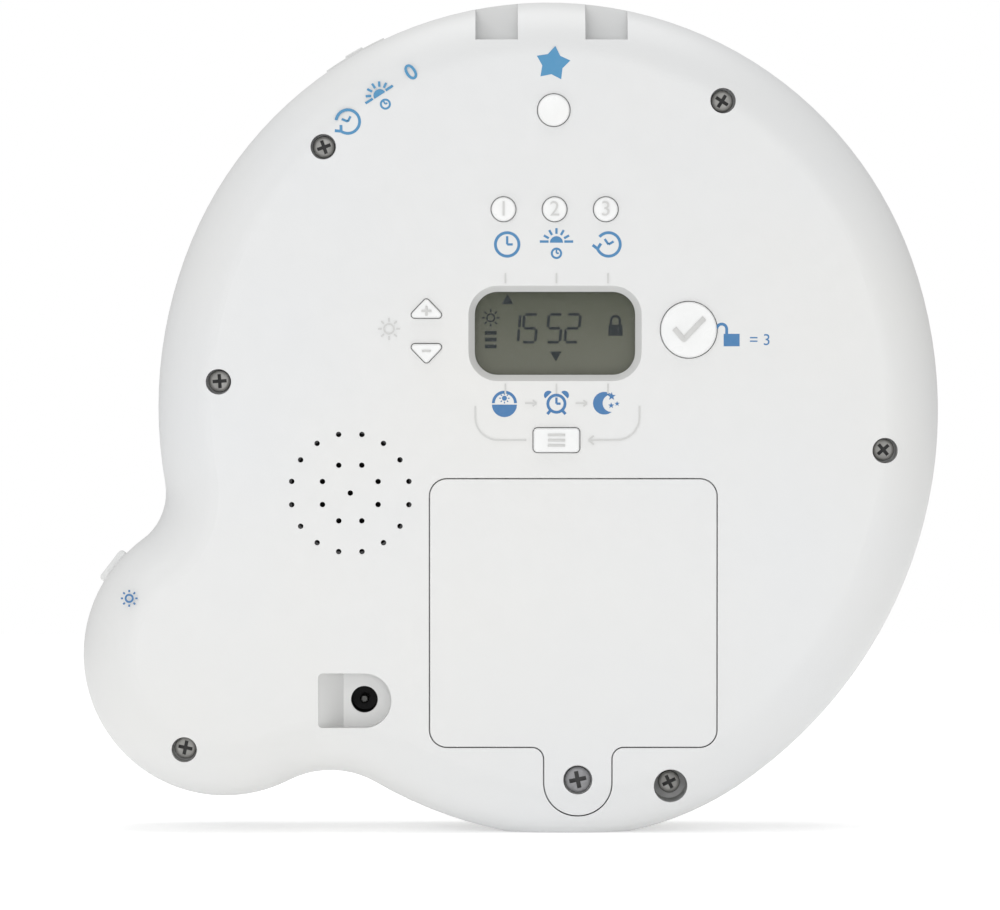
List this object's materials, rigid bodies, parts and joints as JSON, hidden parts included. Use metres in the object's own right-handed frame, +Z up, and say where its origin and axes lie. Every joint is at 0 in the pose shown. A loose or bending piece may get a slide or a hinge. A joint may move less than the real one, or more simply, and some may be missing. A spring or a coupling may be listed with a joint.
{
  "type": "kids alarm clock with night light",
  "caption": "Round child's bedside alarm clock with a side lobe: night-light face in front, display, set buttons, speaker grille and battery door behind.",
  "frame": {"origin": "middle of the clock's box, on the surface it stands on", "axes": "+Z up; -Y out of the back, which holds the display and buttons; +Y out of the night-light face; +X to the right seen from behind"},
  "size_m": [0.1886, 0.0444, 0.1828],
  "materials": {
    "white_plastic": "satin moulded white",
    "frosted_plastic": "frosted translucent white",
    "clear_window": "clear polished",
    "lcd": "grey-green reflective display",
    "black_plastic": "black moulded",
    "circuit_board": "green solder mask",
    "lamp": "phosphor yellow white",
    "screw_steel": "zinc plated, dulled",
    "plated_spring": "nickel plated",
    "cell_wrap": "plain dark wrap",
    "speaker_steel": "pressed steel",
    "ferrite": "sintered ferrite",
    "paper_cone": "black paper"
  },
  "bodies": {
    "case": {"back_shell": "white_plastic", "battery_cell_1": "cell_wrap", "battery_cell_2": "cell_wrap", "battery_cell_3": "cell_wrap", "battery_contacts": "plated_spring", "battery_springs": "plated_spring", "board_screws": "screw_steel", "case_screws": "screw_steel", "dc_jack": "black_plastic", "dc_pin": "plated_spring", "front_shell": "white_plastic", "lcd_cell": "lcd", "lcd_frame": "black_plastic", "lcd_window": "clear_window", "led_board": "circuit_board", "led_lamps": "lamp", "light_switch": "black_plastic", "light_switch_board": "circuit_board", "light_tray": "white_plastic", "lobe_led_board": "circuit_board", "lobe_led_lamp": "lamp", "lobe_lens": "frosted_plastic", "main_board": "circuit_board", "night_light_lens": "frosted_plastic", "slide_switch": "black_plastic", "slide_switch_board": "circuit_board", "speaker_basket": "speaker_steel", "speaker_cone": "paper_cone", "speaker_magnet": "ferrite", "speaker_screws": "screw_steel", "tact_switches": "black_plastic"},
    "star_button": {"star_button": "white_plastic"},
    "button_1": {"button_1": "white_plastic"},
    "button_2": {"button_2": "white_plastic"},
    "button_3": {"button_3": "white_plastic"},
    "ok_button": {"ok_button": "white_plastic"},
    "mode_button": {"mode_button": "white_plastic"},
    "plus_button": {"plus_button": "white_plastic"},
    "minus_button": {"minus_button": "white_plastic"},
    "light_button": {"light_button": "white_plastic"},
    "mode_slider": {"mode_slider": "white_plastic"},
    "battery_door": {"battery_door": "white_plastic", "door_screw": "screw_steel"}
  },
  "joints": [
    {"name": "press_star_button", "type": "slide", "parent": "case", "child": "star_button", "axis": [0, 1, 0], "range_m": [0, 0.0008], "stiffness_N_per_m": 400},
    {"name": "press_button_1", "type": "slide", "parent": "case", "child": "button_1", "axis": [0, 1, 0], "range_m": [0, 0.0008], "stiffness_N_per_m": 400},
    {"name": "press_button_2", "type": "slide", "parent": "case", "child": "button_2", "axis": [0, 1, 0], "range_m": [0, 0.0008], "stiffness_N_per_m": 400},
    {"name": "press_button_3", "type": "slide", "parent": "case", "child": "button_3", "axis": [0, 1, 0], "range_m": [0, 0.0008], "stiffness_N_per_m": 400},
    {"name": "press_ok_button", "type": "slide", "parent": "case", "child": "ok_button", "axis": [0, 1, 0], "range_m": [0, 0.0008], "stiffness_N_per_m": 400},
    {"name": "press_mode_button", "type": "slide", "parent": "case", "child": "mode_button", "axis": [0, 1, 0], "range_m": [0, 0.0008], "stiffness_N_per_m": 400},
    {"name": "press_plus_button", "type": "slide", "parent": "case", "child": "plus_button", "axis": [0, 1, 0], "range_m": [0, 0.0008], "stiffness_N_per_m": 400},
    {"name": "press_minus_button", "type": "slide", "parent": "case", "child": "minus_button", "axis": [0, 1, 0], "range_m": [0, 0.0008], "stiffness_N_per_m": 400},
    {"name": "press_light_button", "type": "slide", "parent": "case", "child": "light_button", "axis": [0.7934, 0, -0.6088], "range_m": [0, 0.001], "stiffness_N_per_m": 400},
    {"name": "slide_mode", "type": "slide", "parent": "case", "child": "mode_slider", "axis": [0.866, 0, 0.5], "range_m": [-0.0025, 0.0025]},
    {"name": "open_battery_door", "type": "hinge", "parent": "case", "child": "battery_door", "pos_m": [0.0137, -0.0214, 0.078], "axis": [-1, 0, 0], "range_deg": [0, 65]}
  ]
}
